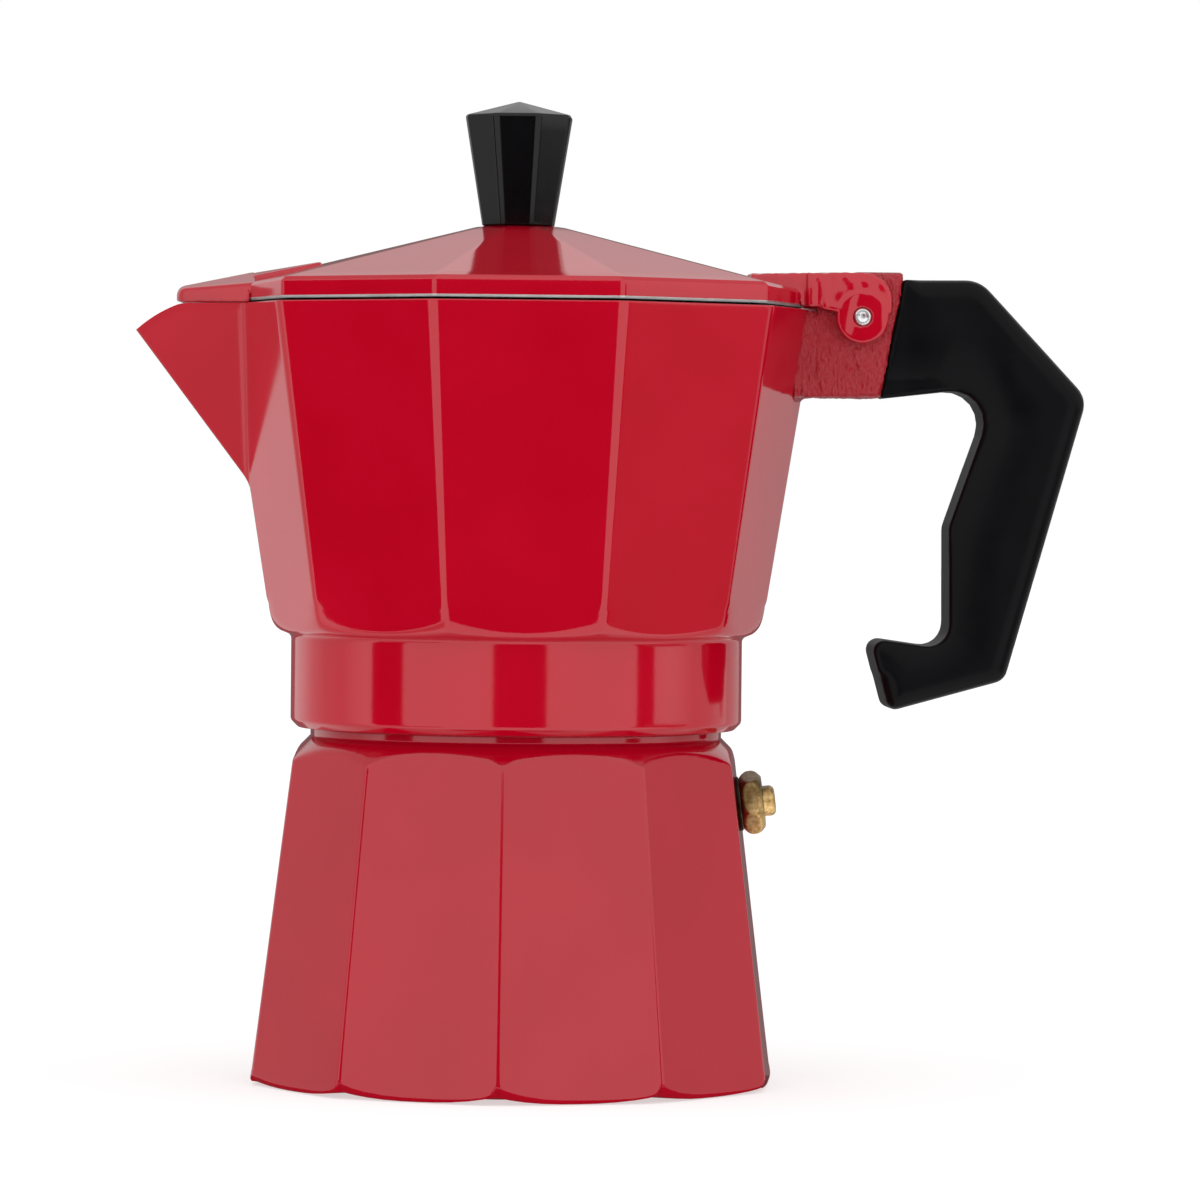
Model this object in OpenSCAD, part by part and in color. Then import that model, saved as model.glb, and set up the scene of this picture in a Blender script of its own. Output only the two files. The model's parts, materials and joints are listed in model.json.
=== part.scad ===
// Stovetop coffee maker (moka pot), three-cup size, ten-sided cast aluminium with a red finish.
// Frame: origin at the centre of the boiler's base, +Z up, handle on +X, spout on -X. Millimetres.

/* [Boiler] */
// Circumradius of the ten-sided boiler at its base
boiler_base_r = 43.2; // [42.8:0.1:44]
// Circumradius of the boiler's facets, carried up to the neck
boiler_top_r = 36.2; // [35.8:0.1:36.6]
// Radius of the flat ring that the boiler stands on
foot_r = 40.3; // [39.5:0.1:40.6]
// Height at which the sloping shoulder meets the neck
shoulder_z = 55.5; // [55.2:0.1:55.6]
// Height of the top of the boiler's neck
neck_top_z = 67; // [66.8:0.1:67]
// Radius of the plain band under the thread
neck_r = 32.9; // [32.6:0.1:33]
// Radius of the boiler's mouth
mouth_r = 28.4; // [28.3:0.1:28.6]
// Thickness of the boiler's cast wall
boiler_wall = 2.6; // [2.2:0.1:3]

/* [Safety valve] */
// Direction of the valve's facet, from the handle's side
valve_angle = -5; // [-10:1:0]
// Height of the valve's axis where it leaves the facet
valve_z = 45; // [44:0.2:46]
// Width of the valve's hexagon across its flats
valve_hex = 9; // [8.5:0.5:10]
// How far the plunger can lift off its seat
valve_stroke = 1.2; // [0.8:0.1:1.5]

/* [Funnel and filter] */
// Outer radius of the coffee basket
basket_r = 28; // [27.6:0.1:28]
// Height of the basket's floor
basket_floor_z = 47; // [46:0.5:48]
// Outer radius of the funnel's stem
stem_r = 5; // [4.5:0.1:5.5]
// Height of the stem's open lower end
stem_end_z = 8; // [7:0.5:12]
// Outer radius of the rubber ring
gasket_r = 31.6; // [31.2:0.1:31.6]
// Rings of holes in the filter plate
plate_rings = 5; // [3:1:5]

/* [Collector] */
// Outer radius of the round threaded skirt
skirt_r = 36.1; // [35.6:0.1:36.4]
// Height of the skirt's lower edge
skirt_z = 56.7; // [56.5:0.1:57]
// Circumradius of the collector's facets at the skirt's top
collector_low_r = 39.25; // [39:0.05:39.5]
// Circumradius of the collector's rim
rim_r = 47.9; // [47.5:0.1:48.3]
// Height of the collector's rim
rim_z = 125.2; // [124.8:0.1:125.3]
// Thickness of the collector's cast wall
collector_wall = 2.4; // [2:0.1:2.8]
// Height of the riser column's closed top
column_top_z = 113; // [105:1:116]

/* [Lid] */
// Circumradius of the lid
lid_r = 46.9; // [46.6:0.1:47.2]
// Height of the flat on which the knob stands
lid_top_z = 136.9; // [136:0.1:138]
// Thickness of the lid's sheet
lid_wall = 2; // [1.6:0.1:2.2]
// Overall height of the pot at the knob's tip
pot_height = 157; // [155:0.5:159]

/* [Hinge and handle] */
// Distance of the hinge pin from the pot's axis
pin_x = 54.4; // [54.2:0.1:54.6]
// Height of the hinge pin
pin_z = 123; // [122.8:0.1:123.2]
// Radius of the hinge pin
pin_r = 1.4; // [1.2:0.1:1.6]
// Thickness of the bracket between the lid's two ears
bracket_w = 12; // [11:0.5:12]
// Width of the handle
handle_w = 16.4; // [14:0.2:18]

/* [Hidden] */
$fn = 96;

sides = 10;                            // facets of the boiler, the collector and the lid
flat = cos(180 / sides);               // a facet's middle against its corner
gap = 0.1;                             // play between pieces that are pressed together in use
fit = 0.05;                            // running clearance of the hinge pin and the plunger

// Boiler
boiler_slope = (boiler_base_r - boiler_top_r) / shoulder_z;
foot_chamfer = 0.72;                   // run over rise of the cone under the facets
thread_root_r = neck_r - 0.8;
thread_low_z = shoulder_z + 2.7;
boiler_floor = 4.2;
cavity_top_z = 51;
cavity_low_r = flat * (boiler_base_r - 8 * boiler_slope) - boiler_wall;
cavity_high_r = flat * (boiler_base_r - cavity_top_z * boiler_slope) - boiler_wall;

// Safety valve, measured along its own axis from the facet outwards
valve_tilt = atan(flat * boiler_slope);
valve_seat_r = flat * (boiler_base_r - valve_z * boiler_slope);
valve_stub_r = 3.9;
valve_back = -5.5;                     // inner end of the threaded stub
valve_hex_from = 0.5;                  // top of the washer
valve_hex_to = 4.1;
valve_hex_turn = -11.5;
valve_boss_r = 2.45;
valve_boss_to = 6;
valve_room_r = 2.5;                    // bore that holds the spring
valve_room_to = 3.4;
plunger_r = 1.2;
plunger_disc_r = 2.2;
plunger_disc_from = -4.4;
plunger_disc_to = -3.6;
spring_wire_r = 0.2;
spring_mean_r = 1.8;
spring_turns = 6;

// Funnel, rubber ring and filter plate
sheet = 0.8;                           // aluminium sheet of the funnel and the plates
funnel_rim_z = neck_top_z + 0.9;
gasket_z = funnel_rim_z + gap;
gasket_h = 3;
gasket_bore_r = 26.5;
plate_z = gasket_z + gasket_h + gap;
plate_r = 27.6;
plate_dish = 0.9;
hole_r = 0.65;
hole_pitch = 4.4;

// Collector
seat_z = plate_z + gap;                // face that the rubber ring is pushed against
under_r = 5;                           // rounding of the collector's underside
under_z = 76.5;
floor_z = 75;
facet_slope = (rim_r - collector_low_r) / (rim_z - under_z + under_r);
thread_bore_r = neck_r + 0.4;
column_r = 6;
column_bore_r = 2.8;

// Spout: a wedge with its keel in the plane of the handle
keel_low = [-43.85, 96.8];
keel_tip = [-61.1, 119.7];
spout_half_w = 12;                     // half its width where it leaves the rim
spout_root_x = -44;
lip_arc = [-47.5, 104.2, 21];          // centre and radius of the pouring edge, seen from the side
spout_wall_shift = 4.4;                // moves the wedge in by the wall's thickness

// Lid, its beak, ears and knob
lid_z = rim_z + 0.15;
lid_rim_h = 2.1;
lid_flat_r = 7.2;
roof_sink = 0.8;                       // the rim's corners over the spout and the hinge sit lower
beak_tip_x = -54.8;
beak_side = [-42.6, 12.2];              // where the visor ends on the rim
beak_fold_z = 129.3;                   // height of the ridge there
beak_ridge_x = -32;
beak_ridge_z = 131.1;
beak_rib_w = 9;
beak_drop_x = -51.2;                   // the beak's tip hangs lower than the rim beyond this
ear_top_z = pin_z + 7.2;
ear_r = 4.2;
ear_in = bracket_w / 2 + 0.3;
ear_out = ear_in + 2.2;
tongue_x = 35.5;
notch_x = 45.2;
knob_low_r = 6.2;
knob_high_r = 9.05;
knob_cap_h = 2.2;
knob_turn = -71.5;

// Bracket and handle, as side views: each corner is [x, z, radius]
bracket_side = [[43, 110.2, 0], [57.57, 110.2, 0.5], [61.25, 130.2, 0.7],
                [47.2, 130.2, 6.6], [47.2, 124, 0], [43, 124, 0]];
handle_side = [[61.1, 129.05, 0.5], [73.3, 129.1, 5], [90.7, 110.4, 4], [77.9, 65.2, 2.6],
               [59.2, 60, 1.7], [56, 71.9, 1.8], [68.8, 70.1, 3.4], [68.6, 89.6, 4],
               [76.5, 112.2, 5.2], [57.55, 110, 0.5]];
handle_edge = 2;                       // rounding of the handle's long edges
handle_steps = 4;
tang = [70, 116.5, 126, 6];            // far end, underside, top and width of the cast tang
screw_x = 65.8;
screw_head_z = 112.2;

// Points of a polygon whose corners are rounded to their own radius
function turn(a, b) = cross(a, b) > 0 ? 1 : -1;
function unit(v) = v / norm(v);
function corner(p, q, s, steps) =
    let (u = unit([p.x - q.x, p.y - q.y]), v = unit([s.x - q.x, s.y - q.y]),
         half = acos(u * v) / 2, way = turn(u, v), reach = q[2] / sin(half),
         centre = [q.x, q.y] + reach * unit(u + v),
         from = atan2(u.y, u.x) - way * 90, sweep = way * (180 - 2 * half))
    q[2] == 0 ? [[q.x, q.y]]
              : [for (i = [0 : steps]) let (a = from - sweep * i / steps)
                    centre + q[2] * [cos(a), sin(a)]];
function rounded(c, steps = 5) =
    [for (i = [0 : len(c) - 1])
        each corner(c[(i + len(c) - 1) % len(c)], c[i], c[(i + 1) % len(c)], steps)];

// Stands a side view up, centred on the plane of the handle
module side_view(width) {
    rotate([90, 0, 0]) linear_extrude(height = width, center = true) children();
}

// A round bar across the pot, centred on the plane of the handle
module cross_bar(x, z, r, width) {
    translate([x, 0, z]) rotate([90, 0, 0]) cylinder(h = width, r = r, center = true);
}

// A ring of revolution between two radii and two heights
module ring(r_in, r_out, z_low, z_high) {
    rotate_extrude() translate([r_in, z_low]) square([r_out - r_in, z_high - z_low]);
}

// Ten-sided taper, with corners on the plane of the handle
module taper(z_low, r_low, z_high, r_high) {
    translate([0, 0, z_low]) cylinder(h = z_high - z_low, r1 = r_low, r2 = r_high, $fn = sides);
}

module boiler() {
    color("firebrick") difference() {
        union() {
            intersection() {
                rotate([0, 0, valve_angle + 180 / sides])
                    taper(0, boiler_base_r, shoulder_z + 3, boiler_top_r - 3 * boiler_slope);
                boiler_outline();
            }
            boiler_neck();
        }
        boiler_cavity();
        at_valve() translate([0, 0, valve_back - 3])
            cylinder(h = 20, r = valve_stub_r + gap);
    }
}

// Cone under the facets and sloping shoulder above them, which cut the facets to scallops
module boiler_outline() {
    wide = boiler_base_r + 2;
    rotate_extrude() polygon([
        [0, 0], [foot_r, 0], [wide, (wide - foot_r) / foot_chamfer],
        [wide, shoulder_z + neck_r - wide], [neck_r - 2, shoulder_z + 2], [0, shoulder_z + 2]]);
}

module boiler_neck() {
    rotate_extrude() polygon([
        [0, shoulder_z - 4], [neck_r, shoulder_z - 4], [neck_r, thread_low_z],
        [thread_root_r, thread_low_z + 0.5], [thread_root_r, neck_top_z - 0.6],
        [thread_root_r - 0.6, neck_top_z], [0, neck_top_z]]);
}

module boiler_cavity() {
    corner_r = 6;
    rotate_extrude() polygon(concat(
        [[0, boiler_floor]],
        [for (a = [-90 : 15 : 0])
            [cavity_low_r - corner_r + corner_r * cos(a), boiler_floor + corner_r + corner_r * sin(a)]],
        [[cavity_high_r, cavity_top_z], [mouth_r, cavity_top_z + cavity_high_r - mouth_r],
         [mouth_r, neck_top_z + 1], [0, neck_top_z + 1]]));
}

// Puts a child on the valve's axis, with its own Z pointing out of the boiler
module at_valve() {
    rotate([0, 0, valve_angle]) translate([valve_seat_r, 0, valve_z])
        rotate([0, 90 - valve_tilt, 0]) children();
}

module valve_washer() {
    color("silver") at_valve() ring(valve_stub_r + gap, valve_hex / 2 + 0.2, 0.02, valve_hex_from);
}

module valve_body() {
    hex_r = valve_hex / 2 / cos(30);
    color("goldenrod") at_valve() difference() {
        union() {
            intersection() {
                rotate([0, 0, valve_hex_turn]) translate([0, 0, valve_hex_from + 0.02])
                    cylinder(h = valve_hex_to - valve_hex_from - 0.02, r = hex_r, $fn = 6);
                rotate_extrude() polygon([
                    [0, valve_hex_from], [hex_r - 0.35, valve_hex_from], [hex_r + 0.1, valve_hex_from + 0.7],
                    [hex_r + 0.1, valve_hex_to - 0.7], [hex_r - 0.75, valve_hex_to + 0.1],
                    [0, valve_hex_to + 0.1]]);
            }
            rotate_extrude() polygon([
                [0, valve_back], [valve_stub_r - 0.4, valve_back], [valve_stub_r, valve_back + 0.4],
                [valve_stub_r, valve_hex_to - 1], [valve_boss_r, valve_hex_to - 1],
                [valve_boss_r, valve_boss_to - 0.4], [valve_boss_r - 0.4, valve_boss_to],
                [0, valve_boss_to]]);
        }
        translate([0, 0, valve_back - 1]) cylinder(h = valve_room_to - valve_back + 1, r = valve_room_r);
        cylinder(h = valve_boss_to + 1, r = plunger_r + fit);
    }
}

module valve_plunger() {
    color("khaki") at_valve() rotate_extrude() polygon([
        [0, plunger_disc_from], [plunger_disc_r - 0.3, plunger_disc_from],
        [plunger_disc_r, plunger_disc_from + 0.3], [plunger_disc_r, plunger_disc_to],
        [plunger_r, plunger_disc_to], [plunger_r, valve_boss_to - 0.35],
        [plunger_r - 0.3, valve_boss_to - 0.05], [0, valve_boss_to - 0.05]]);
}

// One wire swept along the spring's helix
module valve_spring() {
    wire_sides = 6;
    per_turn = 14;
    low = plunger_disc_to + spring_wire_r + 0.05;
    high = valve_room_to - spring_wire_r - 0.05;
    rings = spring_turns * per_turn;
    points = [for (i = [0 : rings], k = [0 : wire_sides - 1])
        let (a = 360 * i / per_turn, b = 360 * k / wire_sides,
             r = spring_mean_r + spring_wire_r * cos(b))
        [r * cos(a), r * sin(a), low + (high - low) * i / rings + spring_wire_r * sin(b)]];
    function at(i, k) = i * wire_sides + k % wire_sides;
    faces = concat(
        [[for (k = [0 : wire_sides - 1]) at(0, k)]],
        [for (i = [0 : rings - 1], k = [0 : wire_sides - 1])
            each [[at(i, k), at(i + 1, k), at(i + 1, k + 1)], [at(i, k), at(i + 1, k + 1), at(i, k + 1)]]],
        [[for (k = [wire_sides - 1 : -1 : 0]) at(rings, k)]]);
    color("lightgray") at_valve() polyhedron(points, faces);
}

module valve_retainer() {
    color("khaki") at_valve()
        ring(1, valve_room_r - 0.02, valve_back + 0.1, plunger_disc_from - 0.05);
}

// Rim, basket, floor, cone and stem as one profile
module funnel() {
    rim_out_r = thread_root_r - 0.9;
    cone_r = 21;
    cone_end_z = basket_floor_z - 9;
    color("lightgray") rotate_extrude() polygon([
        [basket_r - sheet, funnel_rim_z], [rim_out_r, funnel_rim_z], [rim_out_r, neck_top_z + 0.02],
        [basket_r, neck_top_z + 0.02], [basket_r, basket_floor_z + 1], [basket_r - 1, basket_floor_z],
        [cone_r, basket_floor_z], [stem_r, cone_end_z], [stem_r, stem_end_z],
        [stem_r - sheet, stem_end_z], [stem_r - sheet, cone_end_z + 0.3],
        [cone_r - 0.3, basket_floor_z + sheet], [basket_r - sheet, basket_floor_z + sheet]]);
}

// Rings of holes round one in the middle
module holes(rings, pitch, r) {
    translate([0, 0, -1]) cylinder(h = 4, r = r);
    for (n = [1 : rings], i = [0 : 6 * n - 1])
        rotate([0, 0, 60 * i / n]) translate([n * pitch, 0, -1]) cylinder(h = 4, r = r);
}

module funnel_sieve() {
    color("silver") translate([0, 0, basket_floor_z + sheet + 0.02]) difference() {
        cylinder(h = 0.7, r = basket_r - sheet - gap);
        holes(4, hole_pitch, hole_r);
    }
}

module gasket() {
    color("ivory") rotate_extrude() translate([gasket_bore_r, gasket_z]) polygon([
        [0, 0], [gasket_r - gasket_bore_r - 0.4, 0], [gasket_r - gasket_bore_r, 0.4],
        [gasket_r - gasket_bore_r, gasket_h], [0.6, gasket_h], [0, gasket_h - 0.6]]);
}

// Flat flange held by the rubber ring, and a dished middle with the holes
module filter_plate() {
    dish_z = plate_z - plate_dish;
    color("silver") difference() {
        rotate_extrude() polygon([
            [0, dish_z], [24.6, dish_z], [25.8, plate_z], [plate_r, plate_z],
            [plate_r, plate_z + 0.6], [25.5, plate_z + 0.6], [24.3, dish_z + 0.6], [0, dish_z + 0.6]]);
        translate([0, 0, dish_z - 1]) holes(plate_rings, hole_pitch, hole_r);
    }
}

module collector() {
    color("crimson") difference() {
        union() {
            intersection() {
                taper(under_z - under_r, collector_low_r, rim_z, rim_r);
                collector_underside();
            }
            skirt();
            spout_wedge();
            bracket();
        }
        collector_cavity();
        translate([spout_wall_shift, 0, 0.01]) spout_wedge(rim_z + 2);
        skirt_bore();
        translate([0, 0, seat_z - 3]) cylinder(h = 10, r = column_r);
        cross_bar(pin_x, pin_z, pin_r + 0.02, bracket_w + 2);
        translate([screw_x, 0, tang[1] - 1]) cylinder(h = 7.5, r = 1.5);
    }
}

// Round underside that turns into the facets and cuts their lower ends to arcs
module collector_underside() {
    centre_r = skirt_r - 0.8;
    rotate_extrude() polygon(concat(
        [[0, under_z - under_r]],
        [for (a = [-90 : 10 : 0]) [centre_r + under_r * cos(a), under_z + under_r * sin(a)]],
        [[centre_r + under_r + 12, under_z + 30], [centre_r + under_r + 12, rim_z], [0, rim_z]]));
}

module skirt() {
    rotate_extrude() polygon([
        [0, skirt_z], [skirt_r - 3, skirt_z], [skirt_r - 0.9, skirt_z + 0.3], [skirt_r, skirt_z + 1],
        [skirt_r, under_z - under_r], [skirt_r - 3, under_z - under_r + 1], [0, under_z - under_r + 1]]);
}

// Threaded bore, seat of the rubber ring, pocket of the filter plate and the dome over it
module skirt_bore() {
    rotate_extrude() polygon([
        [0, skirt_z - 1], [thread_bore_r + 0.6, skirt_z - 1], [thread_bore_r, skirt_z + 0.6],
        [thread_bore_r, funnel_rim_z - 0.4], [gasket_r + gap, funnel_rim_z + 1.2],
        [gasket_r + gap, seat_z], [plate_r + 0.15, seat_z], [plate_r + 0.15, seat_z + 0.7],
        [24, seat_z + 0.7], [column_r + 1, seat_z + 1.5], [0, seat_z + 1.5]]);
}

module collector_cavity() {
    wall = collector_wall / flat;
    round_r = 3;
    low_r = collector_low_r + facet_slope * (floor_z - under_z + under_r) - wall;
    top_r = rim_r + facet_slope * 5 - wall;
    intersection() {
        taper(floor_z, low_r, rim_z + 5, top_r);
        rotate_extrude() polygon(concat(
            [[0, floor_z]],
            [for (a = [-90 : 15 : 0])
                [low_r - round_r + round_r * cos(a), floor_z + round_r + round_r * sin(a)]],
            [[low_r + 14, rim_z - 10], [low_r + 14, rim_z + 5], [0, rim_z + 5]]));
    }
}

// The spout's wedge below the curved pouring edge, or up to a plain height
module spout_wedge(top = 0) {
    run = (keel_tip.x - keel_low.x) / (keel_tip.y - keel_low.y);
    high_z = max(rim_z, top);
    point_x = keel_low.x + run * (high_z - keel_low.y);
    spread = spout_half_w * (high_z - keel_low.y) / (rim_z - keel_low.y);
    intersection() {
        hull() {
            translate([keel_low.x, 0, keel_low.y]) cube(0.01, center = true);
            translate([keel_low.x + 6, 0, keel_low.y]) cube(0.01, center = true);
            translate([point_x, 0, high_z - 0.005]) cube(0.01, center = true);
            for (side = [-1, 1]) {
                translate([spout_root_x, side * spread, high_z - 0.005]) cube(0.01, center = true);
                translate([spout_root_x + 6, side * spread, high_z - 0.005]) cube(0.01, center = true);
            }
        }
        union() {
            translate([lip_arc[0], -30, 0]) cube([30, 60, high_z + 1]);
            if (top == 0) cross_bar(lip_arc[0], lip_arc[1], lip_arc[2], 60);
            else translate([point_x - 5, -30, 0]) cube([60, 60, high_z + 1]);
        }
    }
}

// Cast lug that carries the hinge pin and the handle, with a tang inside the handle
module bracket() {
    side_view(bracket_w) polygon(rounded(bracket_side));
    translate([tang[0] - 14, -tang[3] / 2, tang[1]]) cube([14, tang[3], tang[2] - tang[1]]);
}

// Hollow column, closed at the top, with two side windows
module riser_column() {
    top_r = 4.4;
    window_z = column_top_z - 8;
    color("silver") difference() {
        rotate_extrude() polygon([
            [0, seat_z + 1.7], [column_r - gap, seat_z + 1.7], [column_r - gap, floor_z],
            [column_r + 2, floor_z + 0.02], [column_r + 2, floor_z + 1], [column_r, floor_z + 3],
            [top_r, column_top_z - 2.5], [top_r - 1.2, column_top_z - 0.6], [0, column_top_z]]);
        translate([0, 0, seat_z]) cylinder(h = column_top_z - 3.5 - seat_z, r = column_bore_r);
        translate([-10, -1.6, window_z]) cube([20, 3.2, 4.2]);
    }
}

module hinge_pin() {
    color("gainsboro") cross_bar(pin_x, pin_z, pin_r, 2 * ear_out + 0.3);
}

// Long edges rounded in steps, a slot for the tang and a waist beside the lid's ears
module handle() {
    color("#1c1c1e") difference() {
        union() for (i = [0 : handle_steps])
            let (a = 90 * i / handle_steps)
            side_view(handle_w - 2 * handle_edge * (1 - sin(a)))
                offset(delta = -handle_edge * (1 - cos(a)) * 0.999) polygon(rounded(handle_side));
        handle_waist();
        translate([tang[0] - 20, -tang[3] / 2 - gap, tang[1] - gap])
            cube([20 + gap, tang[3] + 2 * gap, tang[2] - tang[1] + 2 * gap]);
        translate([screw_x, 0, 105]) cylinder(h = 9, r = 3.1);
        translate([screw_x, 0, 105]) cylinder(h = 13, r = 1.7);
    }
}

// Clears the ears when the lid is open
module handle_waist() {
    half = bracket_w / 2 - 0.1;
    for (side = [0, 1]) mirror([0, side, 0]) translate([0, 0, 104])
        linear_extrude(height = 30)
            polygon([[50, half], [65, half], [71.5, handle_w / 2 + 0.1], [71.5, 14], [50, 14]]);
}

module handle_screw() {
    color("gainsboro") translate([screw_x, 0, screw_head_z]) difference() {
        union() {
            cylinder(h = 1.8, r = 2.8);
            cylinder(h = tang[1] + 5 - screw_head_z, r = 1.4);
        }
        for (a = [0, 90]) rotate([0, 0, a]) translate([-1.7, -0.35, -1]) cube([3.4, 0.7, 1.9]);
    }
}

module lid() {
    color("crimson") difference() {
        union() {
            lid_roof(0, lid_r);
            beak();
            ears();
        }
        lid_roof(lid_wall, lid_r - lid_wall - 0.3);
        translate([beak_drop_x, -lid_r, rim_z - 2]) cube([lid_r, 2 * lid_r, 2 + gap]);
        translate([notch_x, -ear_in, lid_z - 3]) cube([20, 2 * ear_in, 15]);
        cross_bar(pin_x, pin_z, pin_r + fit, 2 * ear_out + 4);
        translate([0, 0, lid_z]) cylinder(h = 20, r = 1.9);
    }
}

// Ten-sided roof, lowered by a thickness for its hollow side
module lid_roof(down, r) {
    low = lid_z - (down > 0 ? 1 : 0);
    knee = lid_z + lid_rim_h - down * 0.55 - low;
    top = lid_top_z - down * 1.1 - low;
    translate([0, 0, low]) hull() {
        cylinder(h = knee - roof_sink, r = r, $fn = sides);
        linear_extrude(height = knee) roof_corners(r);
        cylinder(h = top - roof_sink * lid_flat_r / r, r = lid_flat_r, $fn = sides);
        linear_extrude(height = top) roof_corners(lid_flat_r);
    }
}

// The roof's corners without the two over the spout and the hinge
module roof_corners(r) {
    polygon([for (i = [0 : sides - 1]) if (i % (sides / 2) != 0)
        r * [cos(i * 360 / sides), sin(i * 360 / sides)]]);
}

// Visor over the spout, and the rib that runs on from it up the roof
module beak() {
    hull() {
        for (side = [-1, 1]) {
            translate([beak_tip_x + 1.2, side * 1.6, rim_z - 0.4]) cylinder(h = 1.3, r = 1.2, $fn = 24);
            translate([beak_side.x, side * beak_side.y, lid_z]) cylinder(h = 1.9, r = 0.6, $fn = 12);
        }
        translate([beak_tip_x + 1.5, 0, rim_z + 1.2]) cube([2, 1.4, 0.6], center = true);
        ridge_end(beak_side.x, beak_fold_z, 1.6);
    }
    hull() {
        ridge_end(beak_side.x - 1, beak_fold_z - 1.4, beak_rib_w);
        ridge_end(beak_side.x - 1, beak_fold_z - 0.6, 2);
        ridge_end(beak_ridge_x, beak_ridge_z, 1.2);
    }
}

// One end of the ridge, as high as top
module ridge_end(x, top, width) {
    translate([x - 0.3, -width / 2, lid_z + 1]) cube([0.6, width, top - lid_z - 1]);
}

// Tongue on the roof and the two ears that carry it on the pin
module ears() {
    difference() {
        union() {
            side_view(2 * ear_out) polygon(rounded([
                [tongue_x, lid_z + 2, 0], [notch_x + 1.4, lid_z, 0], [notch_x + 6, lid_z - 0.9, 0],
                [pin_x + 4.7, lid_z - 0.9, 0], [pin_x + 4.7, ear_top_z, 4.6],
                [tongue_x, ear_top_z - 1.2, 0]]));
            cross_bar(pin_x, pin_z, ear_r, 2 * ear_out);
        }
        translate([notch_x, -ear_in, pin_z - 10]) cube([20, 2 * ear_in, 25]);
    }
}

module knob() {
    cap_z = pot_height - knob_cap_h;
    color("#151515") difference() {
        rotate([0, 0, knob_turn]) union() {
            translate([0, 0, lid_top_z + 0.02])
                cylinder(h = cap_z - lid_top_z - 0.02, r1 = knob_low_r, r2 = knob_high_r, $fn = 8);
            translate([0, 0, cap_z]) cylinder(h = knob_cap_h, r1 = knob_high_r, r2 = 0.4, $fn = 8);
        }
        translate([0, 0, lid_top_z - 1]) cylinder(h = 12, r = 2.8);
    }
}

module knob_insert() {
    color("goldenrod") ring(1.7, 2.78, lid_top_z + 0.1, lid_top_z + 10.5);
}

module knob_washer() {
    top = lid_top_z - lid_wall * 1.1 - 0.02;
    color("silver") ring(1.8, 4.4, top - 0.7, top);
}

module knob_screw() {
    head_top = lid_top_z - lid_wall * 1.1 - 0.74;
    color("gainsboro") difference() {
        rotate_extrude() polygon([
            [0, head_top - 2], [2.2, head_top - 2], [3.3, head_top - 1.3], [3.3, head_top],
            [1.6, head_top], [1.6, lid_top_z + 9], [1.2, lid_top_z + 9.6], [0, lid_top_z + 9.6]]);
        translate([-4, -0.4, head_top - 3]) cube([8, 0.8, 1.9]);
    }
}

boiler();
valve_washer();
valve_body();
valve_plunger();
valve_spring();
valve_retainer();
funnel();
funnel_sieve();
gasket();
filter_plate();
collector();
riser_column();
hinge_pin();
handle();
handle_screw();
lid();
knob();
knob_insert();
knob_washer();
knob_screw();
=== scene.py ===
"""Looks of a faceted red moka pot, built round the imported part.

Lengths are millimetres and angles are radians, until new_object makes a mesh in metres.
"""

import math

import bmesh
import bpy
import numpy as np
from mathutils import Matrix, Vector
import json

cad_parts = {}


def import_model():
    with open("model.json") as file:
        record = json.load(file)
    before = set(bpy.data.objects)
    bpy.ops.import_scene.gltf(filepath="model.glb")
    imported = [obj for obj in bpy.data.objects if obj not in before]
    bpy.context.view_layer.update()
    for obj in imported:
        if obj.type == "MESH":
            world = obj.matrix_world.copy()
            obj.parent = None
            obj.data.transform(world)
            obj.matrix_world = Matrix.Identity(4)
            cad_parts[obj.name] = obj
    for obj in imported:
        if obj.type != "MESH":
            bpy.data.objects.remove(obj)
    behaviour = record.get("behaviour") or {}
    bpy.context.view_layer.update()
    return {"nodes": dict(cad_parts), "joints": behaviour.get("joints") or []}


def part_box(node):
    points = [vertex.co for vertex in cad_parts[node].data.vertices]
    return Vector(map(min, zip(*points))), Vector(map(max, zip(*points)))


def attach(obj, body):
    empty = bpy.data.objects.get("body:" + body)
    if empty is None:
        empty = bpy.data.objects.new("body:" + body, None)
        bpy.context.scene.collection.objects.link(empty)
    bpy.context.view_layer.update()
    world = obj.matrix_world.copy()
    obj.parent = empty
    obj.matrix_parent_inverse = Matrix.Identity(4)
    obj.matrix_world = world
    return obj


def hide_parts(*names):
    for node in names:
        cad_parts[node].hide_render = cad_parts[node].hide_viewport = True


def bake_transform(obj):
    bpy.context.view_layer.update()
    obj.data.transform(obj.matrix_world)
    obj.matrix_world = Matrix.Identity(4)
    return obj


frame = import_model()

MM = 0.001
FINE, COARSE = 0.3, 0.5                 # cells of the carved meshes
SIDES = 10
HALF_SIDE = math.pi / SIDES
FLAT = math.cos(HALF_SIDE)


# ---------------------------------------------------------------- sizes

def node_box(node):
    """Lowest and highest corner of a CAD node, in millimetres."""
    low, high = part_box(node)
    return np.array(low) / MM, np.array(high) / MM


def joint(name):
    return next(j for j in frame["joints"] if j["name"] == name)


PIN_X, PIN_Z = joint("lid_hinge")["pos_m"][0] / MM, joint("lid_hinge")["pos_m"][2] / MM
PITCH = 3.0
THREAD_HALF_W = 0.95                    # of a ridge at its root
PLAY = 0.1

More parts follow.
